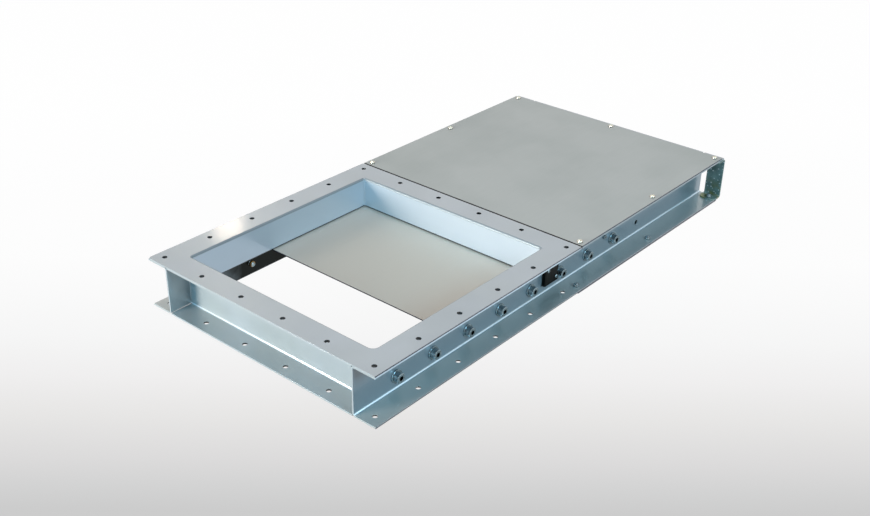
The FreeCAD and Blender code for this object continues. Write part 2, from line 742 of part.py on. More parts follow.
def make_lug_rivets():
    body = new_body("lug_rivets")
    shank = "Sizes.rivet_diameter / 2"
    head = "Sizes.rivet_head / 2"
    foot = "(Sizes.blade_sheet + Sizes.lug_sheet)"
    top = f"{foot} + Sizes.rivet_head_height"
    profile = [("0", "0"), (shank, "0"), (shank, foot), (head, foot), (head, top), ("0", top)]
    rivet = turned(body, "LugRivet", profile,
                   "Places.blade_rear - (Sizes.lug_foot + Sizes.lug_sheet) / 2",
                   "-1 * Sizes.rivet_spacing / 2", "Places.blade_low")
    row(body, [rivet], "Y", "2", "Sizes.rivet_spacing")


# Position switch: a sealed block that looks at the blade's edge through a window in the web
def make_switch_body():
    body = new_body("switch_body")
    centre = ("Places.switch_middle", "-1 * Places.switch_plate_outer")
    block = new_sketch(body, "SwitchBlock", "XZ", *centre, "Places.switch_centre_height")
    half_length = "Sizes.switch_length / 2"
    half_height = "Sizes.switch_height / 2"
    rectangle(block, f"-1 * {half_length}", half_length, f"-1 * {half_height}", half_height)
    shape = pad(body, block, "Sizes.switch_depth")
    face = edges_at(shape, y="-1 * Places.switch_outer")
    rounded(body, shape, face, "Sizes.switch_edge")
    sensor = new_sketch(body, "Sensor", "XZ", *centre, "Places.sensor_height")
    square(sensor, "(Sizes.sensor_width / 2)")
    pad(body, sensor, "Places.switch_plate_outer - Places.sensor_face", backwards=True)
    drill_switch_holes(body, "BlockHoles", "-1 * Places.switch_outer")
    ledge = "Places.switch_centre_height + Sizes.switch_height / 2"
    cable_socket = new_sketch(body, "CableSocket", "XY", "Places.switch_middle",
                              "-1 * (Places.switch_plate_outer + Sizes.switch_depth / 2)", ledge)
    circle(cable_socket, "Sizes.socket_outer")
    circle(cable_socket, "Sizes.socket_bore")
    pad(body, cable_socket, "Sizes.socket_height")


def make_switch_plate():
    body = new_body("switch_plate")
    plate = new_sketch(body, "SwitchPlate", "XZ", "Places.switch_middle",
                       "-1 * Places.web_back", "Places.switch_centre_height")
    half_length = "(Sizes.switch_length / 2 + Sizes.switch_plate_rim)"
    half_height = "(Sizes.switch_height / 2 + Sizes.switch_plate_rim)"
    rectangle(plate, f"-1 * {half_length}", half_length, f"-1 * {half_height}", half_height)
    pad(body, plate, "Sizes.switch_plate")
    window = new_sketch(body, "PlateWindow", "XZ", "Places.switch_middle",
                        "-1 * Places.web_back", "Places.sensor_height")
    square(window, "(Sizes.sensor_width / 2 + Sizes.sensor_window_gap / 2)")
    pocket(body, window)
    drill_switch_holes(body, "PlateHoles", "-1 * Places.web_back")


def make_switch_screws():
    body = new_body("switch_screws")
    shank = "Sizes.switch_screw_diameter / 2"
    head = "Sizes.switch_screw_head / 2"
    face = "-1 * Places.switch_outer"
    top = f"{face} - Sizes.switch_screw_head_height"
    profile = [("0", "-1 * Places.shank_inner"), (shank, "-1 * Places.shank_inner"), (shank, face),
               (head, face), (head, top), ("0", top)]
    for end, direction in (("Front", "-1"), ("Rear", "1")):
        x = f"Places.switch_middle + {direction} * Places.switch_screw_reach"
        z = f"Places.switch_centre_height - {direction} * Places.switch_screw_rise"
        turned(body, f"SwitchScrew{end}", profile, x, "0", z, "XY")


# Small screw that stands in the right web above the roller line
def make_web_screw():
    body = new_body("web_screw")
    shank = "Sizes.web_screw_diameter / 2"
    head = "Sizes.web_screw_head / 2"
    bevel = "Sizes.web_screw_head_bevel"
    face = "-1 * Places.web_back"
    top = f"{face} - Sizes.web_screw_head_height"
    profile = [("0", "-1 * Places.shank_inner"), (shank, "-1 * Places.shank_inner"), (shank, face),
               (head, face), (head, f"{top} + {bevel}"), (f"{head} - {bevel}", top), ("0", top)]
    turned(body, "WebScrew", profile, "Places.web_screw_place", "0", "Sizes.web_screw_height", "XY")


make_inlet_ring()
right_channel = make_side_channel("right", RIGHT)
add_switch_openings(right_channel)
drill_web_screw_hole(right_channel)
make_side_channel("left", LEFT)
make_front_channel()
make_rear_channel()
make_crossbar()
make_top_cover()
make_bottom_cover()
make_top_screws()
make_nuts("top_cover_nuts", "Sizes.channel_height", upwards=False)
make_bottom_screws()
make_nuts("bottom_cover_nuts", "0", upwards=True)
for side, sign in (("right", RIGHT), ("left", LEFT)):
    make_end_bracket(side, sign)
    make_roller_screws(side, sign)
    make_roller_washers(side, sign)
    make_roller_clips(side, sign)
    for place in range(round(SIZES["roller_count"])):
        make_roller(side, sign, place)
make_blade()
make_blade_lug()
make_lug_rivets()
make_switch_body()
make_switch_plate()
make_switch_screws()
make_web_screw()

document.recompute()
for item in document.Objects:
    if {"Invalid", "Error"} & set(item.State):
        raise RuntimeError(f"{item.Label} is not up to date: {item.State}")
for body in sub_parts:
    if body.Shape.isNull() or not body.Shape.isValid():
        raise RuntimeError(f"{body.Label} has no valid shape")

os.makedirs("parts", exist_ok=True)
for body in sub_parts:
    body.Shape.exportStep(f"parts/{body.Label}.step")
    print(body.Label, len(body.Shape.Solids), round(body.Shape.Volume), body.Shape.BoundBox)
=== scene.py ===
import json
import math

import bmesh
import bpy
from mathutils import Matrix, Vector


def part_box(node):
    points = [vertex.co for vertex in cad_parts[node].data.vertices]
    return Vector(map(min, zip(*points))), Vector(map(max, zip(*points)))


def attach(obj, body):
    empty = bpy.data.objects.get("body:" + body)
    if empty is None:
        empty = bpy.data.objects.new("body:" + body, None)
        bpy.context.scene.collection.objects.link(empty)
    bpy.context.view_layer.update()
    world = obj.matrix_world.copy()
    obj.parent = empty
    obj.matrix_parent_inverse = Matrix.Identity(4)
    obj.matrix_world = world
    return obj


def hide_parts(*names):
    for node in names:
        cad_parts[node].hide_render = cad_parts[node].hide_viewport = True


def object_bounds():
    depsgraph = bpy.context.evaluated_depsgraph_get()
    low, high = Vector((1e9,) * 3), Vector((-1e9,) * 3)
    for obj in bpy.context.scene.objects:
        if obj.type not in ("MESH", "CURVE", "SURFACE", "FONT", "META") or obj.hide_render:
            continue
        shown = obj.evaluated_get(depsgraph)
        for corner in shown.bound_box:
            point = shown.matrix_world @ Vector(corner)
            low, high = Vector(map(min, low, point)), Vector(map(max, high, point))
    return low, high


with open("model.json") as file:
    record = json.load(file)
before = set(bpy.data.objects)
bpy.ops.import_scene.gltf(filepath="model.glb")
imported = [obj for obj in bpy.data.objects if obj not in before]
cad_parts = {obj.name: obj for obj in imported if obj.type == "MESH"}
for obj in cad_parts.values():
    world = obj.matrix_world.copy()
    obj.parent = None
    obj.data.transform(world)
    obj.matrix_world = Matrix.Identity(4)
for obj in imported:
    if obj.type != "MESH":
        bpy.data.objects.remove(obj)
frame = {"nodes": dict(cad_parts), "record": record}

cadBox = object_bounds()
nodes = frame["nodes"]
scene = bpy.context.scene
mm = 0.001


# Node trees and colours

def linear(hexColour):
    values = []
    for start in (1, 3, 5):
        part = int(hexColour[start:start + 2], 16) / 255
        values.append(part / 12.92 if part <= 0.04045 else ((part + 0.055) / 1.055) ** 2.4)
    return (*values, 1.0)


def addNode(tree, kind, inputs=None, links=None, **settings):
    node = tree.nodes.new(kind)
    for name, value in settings.items():
        setattr(node, name, value)
    for name, value in (inputs or {}).items():
        node.inputs[name].default_value = value
    for name, output in (links or {}).items():
        tree.links.new(output, node.inputs[name])
    return node


def newMaterial(name):
    material = bpy.data.materials.new(name)
    material.use_nodes = True
    material.node_tree.nodes.clear()
    return material, material.node_tree


def perMetre(millimetres):
    return 1000 / millimetres  # how many waves of that real length fit in a metre


def finish(tree, shader):
    addNode(tree, "ShaderNodeOutputMaterial", links={"Surface": shader.outputs[0]})


def calculate(tree, operation, *values):
    # One step of maths on sockets and plain numbers
    node = addNode(tree, "ShaderNodeMath", operation=operation)
    for socket, value in zip(node.inputs, values):
        if isinstance(value, bpy.types.NodeSocket):
            tree.links.new(value, socket)
        else:
            socket.default_value = value
    return node.outputs[0]


def product(tree, first, *others):
    for other in others:
        first = calculate(tree, "MULTIPLY", first, other)
    return first


def noise(tree, vector, waveMillimetres, detail=2.0, roughness=0.5):
    node = addNode(tree, "ShaderNodeTexNoise",
                   {"Scale": perMetre(waveMillimetres), "Detail": detail, "Roughness": roughness},
                   {"Vector": vector})
    return node.outputs["Fac"]


def spread(tree, factor, low, high, fromLow=0.35, fromHigh=0.65):
    node = addNode(tree, "ShaderNodeMapRange",
                   {"From Min": fromLow, "From Max": fromHigh, "To Min": low, "To Max": high},
                   {"Value": factor})
    return node.outputs[0]


def blendColours(tree, factor, first, second):
    mix = addNode(tree, "ShaderNodeMix", data_type="RGBA")
    mix.inputs["A"].default_value = linear(first)
    mix.inputs["B"].default_value = linear(second)
    tree.links.new(factor, mix.inputs["Factor"])
    return mix.outputs["Result"]


def tint(tree, factor, colour, second):
    # Lays a second colour over a finished one where the factor is high
    mix = addNode(tree, "ShaderNodeMix", data_type="RGBA")
    mix.inputs["B"].default_value = linear(second)
    tree.links.new(colour, mix.inputs["A"])
    tree.links.new(factor, mix.inputs["Factor"])
    return mix.outputs["Result"]


def bumps(tree, height, strength, distance):
    node = addNode(tree, "ShaderNodeBump", {"Strength": strength, "Distance": distance * mm},
                   {"Height": height})
    return node.outputs[0]


# Camera: where the photo was taken from, worked out from the flange's hole square

cameraValues = {
    "place": (-1.2555, -1.2123, 1.0521),
    "turn": (60.9807, -0.7971, -49.4348),  # degrees
    "lens": 46.6042,
    "sensor": 36.0,
}


def makeCamera():
    data = bpy.data.cameras.new("photoCamera")
    data.lens = cameraValues["lens"]
    data.sensor_width = cameraValues["sensor"]
    camera = bpy.data.objects.new("photoCamera", data)
    camera.location = cameraValues["place"]
    camera.rotation_euler = [math.radians(angle) for angle in cameraValues["turn"]]
    scene.collection.objects.link(camera)
    scene.camera = camera


makeCamera()
print("camera placed")


# Studio: floor that turns grey towards the viewer, bluish room light, four soft lamps and a glint

studioValues = {
    "floorSize": 30.0,
    "floorDrop": 0.0002,  # how far the floor lies under the part
    "floorBands": ((-0.56, "#cccccc"), (-0.51, "#d3d3d3"), (-0.45, "#dcdbdb"), (-0.35, "#e7e6e5"),
                   (-0.245, "#f0efef"), (-0.128, "#f6f6f6"), (0.004, "#fafafa"),
                   (0.15, "#fdfdfd"), (0.87, "#ffffff")),
    "floorHeading": (0.7596, 0.6503, 0.0),
    "floorBounce": "#5c6a72",
    "floorGlow": 0.985,   # share of the seen floor that glows by itself, the rest takes shadows
    "roomLight": "#b4cfe0",
    "roomLevel": 0.03,
    "lampAim": (0.1, 0.0, 0.0),
    # each lamp: its place, width in metres, power in watts and colour
    "lamps": {
        "keyLamp": ((-6.4, 2.9, 1.1), 2.6, 685.0, "#fff7ee"),
        "frontLamp": ((-6.8, 0.0, 1.8), 2.6, 205.0, "#8fdfff"),
        "sideLamp": ((-0.6, -5.7, 3.4), 2.6, 244.0, "#bbe9ff"),
        "topLamp": ((0.6, 0.2, 5.0), 2.6, 103.0, "#ffe2df"),
        "glintLamp": ((2.11, 3.07, 1.91), 0.16, 1.2, "#ffeeda"),
    },
}


def floorMaterial():
    # The floor shows white far off and pale grey close to the viewer, and keeps the part's shadow
    material, tree = newMaterial("paleFloor")
    place = addNode(tree, "ShaderNodeNewGeometry")
    along = addNode(tree, "ShaderNodeVectorMath", {1: studioValues["floorHeading"]},
                    {0: place.outputs["Position"]}, operation="DOT_PRODUCT")
    bands = studioValues["floorBands"]
    start, end = bands[0][0], bands[-1][0]
    share = spread(tree, along.outputs["Value"], 0.0, 1.0, start, end)
    ramp = addNode(tree, "ShaderNodeValToRGB", links={"Fac": share})
    for count, (distance, colour) in enumerate(bands):
        spot = (distance - start) / (end - start)
        stops = ramp.color_ramp.elements
        stop = stops[count] if count in (0, 1) else stops.new(spot)
        stop.position = spot
        stop.color = linear(colour)
    glow = addNode(tree, "ShaderNodeEmission", {"Strength": 1.0}, {"Color": ramp.outputs["Color"]})
    matt = addNode(tree, "ShaderNodeBsdfDiffuse", {"Color": linear(studioValues["floorBounce"])})
    pale = addNode(tree, "ShaderNodeBsdfDiffuse", links={"Color": ramp.outputs["Color"]})
    rays = addNode(tree, "ShaderNodeLightPath").outputs
    shown = calculate(tree, "MAXIMUM", rays["Is Camera Ray"], rays["Is Glossy Ray"])
    seen = addNode(tree, "ShaderNodeMixShader", {"Fac": studioValues["floorGlow"]},
                   {1: pale.outputs[0], 2: glow.outputs[0]})
    both = addNode(tree, "ShaderNodeMixShader",
                   links={0: shown, 1: matt.outputs[0], 2: seen.outputs[0]})
    finish(tree, both)
    return material


def makeFloor():
    mesh = bmesh.new()
    bmesh.ops.create_grid(mesh, x_segments=1, y_segments=1, size=studioValues["floorSize"] / 2)
    level = cadBox[0][2] - studioValues["floorDrop"]
    bmesh.ops.translate(mesh, vec=(0, 0, level), verts=mesh.verts)
    data = bpy.data.meshes.new("studioFloor")
    mesh.to_mesh(data)
    mesh.free()
    data.materials.append(floorMaterial())
    floor = bpy.data.objects.new("studioFloor", data)
    scene.collection.objects.link(floor)


def makeSurroundings():
    # White where a ray sees the room or its mirror image, and dim blue where the room gives light
    world = bpy.data.worlds.new("studioWhite")
    scene.world = world
    world.use_nodes = True
    tree = world.node_tree
    tree.nodes.clear()
    rays = addNode(tree, "ShaderNodeLightPath").outputs
    mirrored = calculate(tree, "MAXIMUM", rays["Is Glossy Ray"], rays["Is Transmission Ray"])
    shown = calculate(tree, "MAXIMUM", rays["Is Camera Ray"], mirrored)
    room = addNode(tree, "ShaderNodeBackground", {"Color": linear(studioValues["roomLight"]),
                                                  "Strength": studioValues["roomLevel"]})
    white = addNode(tree, "ShaderNodeBackground", {"Color": linear("#ffffff"), "Strength": 1.0})
    both = addNode(tree, "ShaderNodeMixShader",
                   links={0: shown, 1: room.outputs[0], 2: white.outputs[0]})
    addNode(tree, "ShaderNodeOutputWorld", links={"Surface": both.outputs[0]})


def makeLamp(name, place, size, power, colour):
    data = bpy.data.lights.new(name, "AREA")
    data.shape = "DISK"
    data.size = size
    data.energy = power
    data.color = linear(colour)[:3]
    lamp = bpy.data.objects.new(name, data)
    lamp.location = place
    heading = Vector(studioValues["lampAim"]) - Vector(place)
    lamp.rotation_euler = heading.to_track_quat("-Z", "Y").to_euler()
    scene.collection.objects.link(lamp)


makeFloor()
makeSurroundings()
for name, values in studioValues["lamps"].items():
    makeLamp(name, *values)
scene.view_settings.view_transform = "Standard"
print("studio lit")


# Materials of the valve

enamelValues = {
    "light": "#b4bcc0",
    "dark": "#acb4b8",
    "cloud": 140.0,     # millimetres across a cloud in the coat
    "film": "#a9b1a4",  # the faint greenish film where the coat has been handled
    "filmPatch": 90.0,
    "filmShare": 0.25,
    "peel": 2.4,        # waves of the orange peel, drawn a little coarse so that they show
    "peelBump": (0.03, 0.2),
    "wipe": 35.0,
    "metallic": 0.3,
    "roughness": (0.285, 0.325),
    "coat": 0.5,            # weight of the clear top coat, none on the painted shade inside the webs and on the fold's painted shade
    "coatRoughness": 0.1,
    "sheen": (0.5, 0.15),   # specular level of the clean coat, and where it is dull
    "holeShade": "#262b2d",  # painted shade on the walls of the drilled holes
    "underSkirtShade": "#0f1411",    # painted shade on the inside of the webs along the rollers, below the skirt
    "skirtLight": "#c5ced7",     # painted light: the skirt's inside made paler where the lamps fall on it
    "skirtEdgeShadow": "#1c2026",   # painted shadow on the skirt's lower cut edge, where it meets the blade
    "fold": "#8a9499",      # painted shade on the rounded fold from ring to skirt, toning down its highlight
    "web": "#94a1a9",       # painted shade: the long webs' outer faces, a little darker than the rest
    "flange": "#c0c5c2",    # painted light: and their lower flanges a little lighter
    "paintedHighlight": "#eef8ff",      # painted highlight along the inner bends of the channels, and along the upper flanges' edges
    "gapShade": "#14181a",       # painted shade in the gap between the ring and the top cover
    "rim": "#33374a",       # painted shade on the sheets' cut edges along the sides
}

# Where the tints lie, in millimetres of the frame: a middle with the reach to both sides of it,
# two places between which a tint grows, or one limit
tintPlaces = {
    "holeStep": 100.0,
    "holeRadius": 4.68,
    "holesEnd": 300.0,
    "webInside": (221.1, 0.8),
    "webOutside": (224.5, 1.1),
    "webHeight": (48.7, 42.0),
    "flangeStart": 228.5,
    "flangeTop": (2.8, 0.5),
    "bendSide": (225.5, 1.2),
    "bendFront": (-225.5, 1.2),
    "bendHeight": (4.5, 1.2),
    "frameRim": 269.6,
    "coverRim": 269.1,
    "rimTop": (95.2, 1.1),
    "rimLow": 1.8,
    "upperEdge": (92.3, 1.6),
    "upperEdgeEnd": (300.0, 200.0),
    "gapShade": (271.0, 2.2),
    "gapLow": 90.5,
    "gapHigh": 96.4,
    "skirtWall": (216.5, 2.8),
    "skirtEdge": (35.5, 1.1),
    "skirtInside": (216.5, 2.6),
    "skirtTop": (92.5, 90.5),
    "fold": (218.1, 3.9),
    "foldHeight": (94.1, 1.8),
    "trackWave": 30.0,
    "trackSway": 0.06,  # metres by which the painted shade's front end wanders
    "trackFront": (-220.0, -80.0),
    "trackTop": (60.0, 40.0),
    "blade": (33.3, 1.2),
    "bladeEdge": 0.5,
    "screwCrown": 97.2,
    "screwFlank": (96.6, 0.6),
    "stain": (45.0, 15.0),
}


def isNear(tree, value, name):
    middle, reach = tintPlaces[name]
    return calculate(tree, "COMPARE", value, middle * mm, reach * mm)


def isAbove(tree, value, name):
    return calculate(tree, "GREATER_THAN", value, tintPlaces[name] * mm)


def isBelow(tree, value, name):
    return calculate(tree, "LESS_THAN", value, tintPlaces[name] * mm)


def grows(tree, value, name):
    start, end = tintPlaces[name]
    return spread(tree, value, 0.0, 1.0, start * mm, end * mm)


def coordinates(tree):
    # The object coordinates, then apart: along the slide, to either side of it, and up
    place = addNode(tree, "ShaderNodeTexCoord").outputs["Object"]
    axes = addNode(tree, "ShaderNodeSeparateXYZ", links={0: place}).outputs
    return place, axes["X"], calculate(tree, "ABSOLUTE", axes["Y"]), axes["Z"]


def holeWalls(tree, place, along):
    # 1 on the walls of the flange holes, which stand in equal steps around the duct, where painted
    # shade goes
    step = tintPlaces["holeStep"] * mm
    steps = addNode(tree, "ShaderNodeVectorMath", {1: (1 / step, 1 / step, 0)}, {0: place},
                    operation="MULTIPLY")
    part = addNode(tree, "ShaderNodeVectorMath", links={0: steps.outputs[0]}, operation="FRACTION")
    middle = addNode(tree, "ShaderNodeVectorMath", {1: (0.5, 0.5, 0)}, {0: part.outputs[0]},
                     operation="SUBTRACT")
    reach = addNode(tree, "ShaderNodeVectorMath", links={0: middle.outputs[0]}, operation="LENGTH")
    inHole = calculate(tree, "LESS_THAN", reach.outputs["Value"],
                       tintPlaces["holeRadius"] * mm / step)
    return product(tree, inHole, isBelow(tree, along, "holesEnd"))


def rollerTrack(tree, place, along, across, height):
    # 1 on the inner faces of the two webs, below the skirt, fading out towards the front, where
    # painted shade goes
    wavy = noise(tree, place, tintPlaces["trackWave"], 3.0)
    start = calculate(tree, "MULTIPLY_ADD", wavy, tintPlaces["trackSway"], along)
    return product(tree, grows(tree, start, "trackFront"), grows(tree, height, "trackTop"),
                   isNear(tree, across, "webInside"))


def sideRims(tree, across, height, side):
    # 1 on the cut edges along both sides: the top sheet's, and the lower half of the flange's,
    #                                      where painted shade goes
    either = calculate(tree, "MAXIMUM", isNear(tree, height, "rimTop"),
                       isBelow(tree, height, "rimLow"))
    return product(tree, isAbove(tree, across, side), either)


def upperEdges(tree, along, across, height):
    # 1 on the edge of each side channel's upper flange, under the ring's sheet, where a painted
    # highlight goes
    return product(tree, isAbove(tree, across, "frameRim"), isNear(tree, height, "upperEdge"),
                   grows(tree, along, "upperEdgeEnd"))


def webFaces(tree, across, height):
    # 1 on the outer faces of the two long webs, and 1 on top of their lower flanges: for painted
    # shade and painted light
    face = product(tree, isNear(tree, across, "webOutside"), isNear(tree, height, "webHeight"))
    flange = product(tree, isAbove(tree, across, "flangeStart"), isNear(tree, height, "flangeTop"))
    return face, flange


def coverGap(tree, along, height):
    # 1 in the narrow gap between the ring and the top cover, where painted shade goes
    level = product(tree, isAbove(tree, height, "gapLow"), isBelow(tree, height, "gapHigh"))
    return product(tree, isNear(tree, along, "gapShade"), level)


def skirtFaces(tree, along, across, height):
    # 1 on the skirt's inner faces, 1 on its lowest millimetre, and 1 on the fold at its top: for
    # painted light, a painted shadow and painted shade
    reach = calculate(tree, "MAXIMUM", calculate(tree, "ABSOLUTE", along), across)
    inside = product(tree, isNear(tree, reach, "skirtInside"), grows(tree, height, "skirtTop"))
    edge = product(tree, isNear(tree, reach, "skirtWall"), isNear(tree, height, "skirtEdge"))
    fold = product(tree, isNear(tree, reach, "fold"), isNear(tree, height, "foldHeight"))
    return inside, edge, fold


def channelBends(tree, along, across, height):
    # 1 on the rounded inner corner between each web and its lower flange, where a painted highlight
    # goes
    either = calculate(tree, "MAXIMUM", isNear(tree, across, "bendSide"),
                       isNear(tree, along, "bendFront"))
    return product(tree, either, isNear(tree, height, "bendHeight"))


def cloudyCoat(tree, clouds, values):
    return blendColours(tree, spread(tree, clouds, 0, 1), values["dark"], values["light"])


def silverEnamel():
    # Silver-grey stoving enamel on folded steel: half gloss, faint clouds, fine orange peel, with
    # painted shade, painted light and painted highlights laid into its colour
    values = enamelValues
    material, tree = newMaterial("silverStovingEnamel")
    place, along, across, height = coordinates(tree)
    colour = cloudyCoat(tree, noise(tree, place, values["cloud"]), values)
    film = spread(tree, noise(tree, place, values["filmPatch"]), 0.0, values["filmShare"], 0.3, 0.9)
    track = rollerTrack(tree, place, along, across, height)
    web, flange = webFaces(tree, across, height)
    inside, edge, fold = skirtFaces(tree, along, across, height)
    # apart from the film, these tints are painted shade, painted light and painted highlights
    for factor, name in ((film, "film"), (holeWalls(tree, place, along), "holeShade"),
                         (track, "underSkirtShade"), (sideRims(tree, across, height, "frameRim"), "rim"),
                         (coverGap(tree, along, height), "gapShade"), (web, "web"), (flange, "flange"),
                         (channelBends(tree, along, across, height), "paintedHighlight"),
                         (upperEdges(tree, along, across, height), "paintedHighlight"), (fold, "fold"),
                         (inside, "skirtLight"), (edge, "skirtEdgeShadow")):
        colour = tint(tree, factor, colour, values[name])
    peel = bumps(tree, noise(tree, place, values["peel"], 1.0), *values["peelBump"])
    gloss = spread(tree, noise(tree, place, values["wipe"], 0.0), *values["roughness"])
    dull = calculate(tree, "MAXIMUM", track, fold)
    shader = addNode(tree, "ShaderNodeBsdfPrincipled",
                     {"Metallic": values["metallic"], "Coat Roughness": values["coatRoughness"]},
                     {"Base Color": colour, "Roughness": gloss, "Normal": peel,
                      "Specular IOR Level": spread(tree, dull, *values["sheen"], 0.0, 1.0),
                      "Coat Weight": spread(tree, dull, values["coat"], 0.0, 0.0, 1.0)})
    finish(tree, shader)
    return material


sheetValues = {
    "light": "#b0b6b2",
    "dark": "#a4aba7",
    "cloud": 220.0,
    "grain": (60.0, 0.9, 0.9),  # rolling grain, long along X and fine across it
    "grainBump": (0.06, 0.2),
    "metallic": 0.3,
    "roughness": (0.4, 0.5),
    "blade": "#bdbfb5",         # the blade's sheet is warmer than the covers, and a little lighter as painted light in its recess
    "edge": "#30313f",          # painted shade on its sheared front edge
    "rim": "#4a4d58",           # painted shade on the covers' sheared edges along both sides
}


def zincSheet():
    # Cold-rolled sheet with a dull zinc finish: satin, with a faint rolling grain along the slide
    values = sheetValues
    material, tree = newMaterial("dullZincSheet")
    place, along, across, height = coordinates(tree)
    colour = cloudyCoat(tree, noise(tree, place, values["cloud"], 3.0, 0.55), values)
    blade = isNear(tree, height, "blade")
    front = calculate(tree, "COMPARE", along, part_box("blade")[0].x, tintPlaces["bladeEdge"] * mm)
    # a warmer tone on the blade, lighter as painted light
    colour = tint(tree, blade, colour, values["blade"])
    # painted shade on the blade's front edge and on the covers' side edges
    colour = tint(tree, product(tree, blade, front), colour, values["edge"])
    colour = tint(tree, sideRims(tree, across, height, "coverRim"), colour, values["rim"])
    # painted shade in the gap between the ring and the cover
    colour = tint(tree, coverGap(tree, along, height), colour, enamelValues["gapShade"])
    stretched = addNode(tree, "ShaderNodeMapping",
                        {"Scale": [perMetre(length) for length in values["grain"]]},
                        {"Vector": place})
    grain = addNode(tree, "ShaderNodeTexNoise", {"Scale": 1.0, "Detail": 2.0},
                    {"Vector": stretched.outputs[0]}).outputs["Fac"]
    shader = addNode(tree, "ShaderNodeBsdfPrincipled", {"Metallic": values["metallic"]},
                     {"Base Color": colour, "Roughness": spread(tree, grain, *values["roughness"]),
                      "Normal": bumps(tree, grain, *values["grainBump"])})
    finish(tree, shader)
    return material


metalValues = {
    # bright zinc plate on turned and pressed fasteners
    "zincPlatedSteel": {"light": "#a3b4ba", "dark": "#808f95", "metallic": 0.9,
                        "roughness": (0.19, 0.265), "cloud": 4.0},
    # turned bearing bronze, a little tarnished
    "bearingBronze": {"light": "#9a7b4a", "dark": "#7d6239", "metallic": 1.0,
                      "roughness": (0.3, 0.42), "cloud": 3.0},
    "crown": "#d9d3c4",  # the cover screws' heads carry a faintly yellow plating, lighter on top as painted light
    "flank": "#4d4a40",  # and painted shade around their feet
}


def plainMetal(name, coverHeads=False):
    values = metalValues[name]
    material, tree = newMaterial(name)
    place, _, _, height = coordinates(tree)
    clouds = noise(tree, place, values["cloud"])
    colour = cloudyCoat(tree, clouds, values)
    if coverHeads:
        # painted light on the heads' crowns, with their yellow plating, and painted shade around
        # their feet
        crown = isAbove(tree, height, "screwCrown")
        flank = isNear(tree, height, "screwFlank")
        colour = tint(tree, crown, colour, metalValues["crown"])
        colour = tint(tree, flank, colour, metalValues["flank"])
    shader = addNode(tree, "ShaderNodeBsdfPrincipled", {"Metallic": values["metallic"]},
                     {"Base Color": colour,
                      "Roughness": spread(tree, clouds, *values["roughness"])})
    finish(tree, shader)
    return material


bracketValues = {
    "light": "#93aba5",
    "dark": "#6c827c",
    "cloud": 18.0,
    "metallic": 0.35,
    "roughness": (0.28, 0.4),
    "stain": "#8a8a4e",
    "stainPatch": 22.0,
    "stainShare": 0.8,
    "speck": "#f2f6f4",
    "speckSpacing": 7.0,
    "speckEdge": (0.24, 0.18),  # shares of the spacing between which a speck fades in
}


def speckledZinc():
    # Dull greenish zinc coat on the corner brackets, with pale specks and an olive stain low down
    values = bracketValues
    material, tree = newMaterial("speckledZincCoat")
    place, _, _, height = coordinates(tree)
    clouds = noise(tree, place, values["cloud"], 3.0, 0.6)
    colour = cloudyCoat(tree, clouds, values)
    patch = spread(tree, noise(tree, place, values["stainPatch"]), 0.0, values["stainShare"],
                   0.45, 0.6)
    colour = tint(tree, product(tree, grows(tree, height, "stain"), patch), colour,
                  values["stain"])
    cells = addNode(tree, "ShaderNodeTexVoronoi", {"Scale": perMetre(values["speckSpacing"])},
                    {"Vector": place})
    specks = spread(tree, cells.outputs["Distance"], 0.0, 1.0, *values["speckEdge"])
    colour = tint(tree, specks, colour, values["speck"])
    shader = addNode(tree, "ShaderNodeBsdfPrincipled", {"Metallic": values["metallic"]},
                     {"Base Color": colour,
                      "Roughness": spread(tree, clouds, *values["roughness"])})
    finish(tree, shader)
    return material


nylonValues = {
    "light": "#0a0e0c",
    "dark": "#040706",
    "grain": 0.7,
    "grainBump": (0.2, 0.1),
    "roughness": 0.38,
    "specular": 0.1,
}


def moulded():
    # Glass-filled nylon: near black, with the fine dull grain of its mould
    values = nylonValues
    material, tree = newMaterial("blackNylon")
    place = addNode(tree, "ShaderNodeTexCoord").outputs["Object"]
    grain = noise(tree, place, values["grain"], 1.0)
    shader = addNode(tree, "ShaderNodeBsdfPrincipled",
                     {"Roughness": values["roughness"], "Specular IOR Level": values["specular"]},
                     {"Base Color": blendColours(tree, grain, values["dark"], values["light"]),
                      "Normal": bumps(tree, grain, *values["grainBump"])})
    finish(tree, shader)
    return material


materials = {
    "frame_steel": silverEnamel(),
    "sheet_steel": zincSheet(),
    "bracket_steel": speckledZinc(),
    "fastener_steel": plainMetal("zincPlatedSteel", coverHeads=True),
    "bronze": plainMetal("bearingBronze"),
    "black_plastic": moulded(),
}
slotOf = {part["node"]: part["material_slot"] for part in frame["record"]["subparts"]}
bodyOf = {member: body for body, members in frame["record"]["behaviour"]["bodies"].items()
          for member in members}
for node, slot in slotOf.items():
    mesh = nodes[node].data
    mesh.materials.clear()
    mesh.materials.append(materials[slot])
print("materials on", len(nodes), "nodes")


# Ways to make and place a piece

tiny = 1e-6           # metres that count as nothing when places are compared
flatNormal = 0.99995  # a face whose normal is this close to an axis counts as flat


def addPiece(name, mesh, slot, body="frame", replaced=(), sharpAngle=38.0):
    data = bpy.data.meshes.new(name)
    smoothFaces = [face.smooth for face in mesh.faces]
    mesh.to_mesh(data)
    mesh.free()
    data.set_sharp_from_angle(angle=math.radians(sharpAngle))
    data.polygons.foreach_set("use_smooth", smoothFaces)
    data.materials.append(materials[slot])
    piece = bpy.data.objects.new(name, data)
    scene.collection.objects.link(piece)
    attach(piece, body)
    if replaced:
        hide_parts(*replaced)


def smooth(mesh):
    # Rounds shade smooth, and faces that lie square to the frame stay flat
    mesh.normal_update()
    for face in mesh.faces:
        face.smooth = max(abs(part) for part in face.normal) < flatNormal


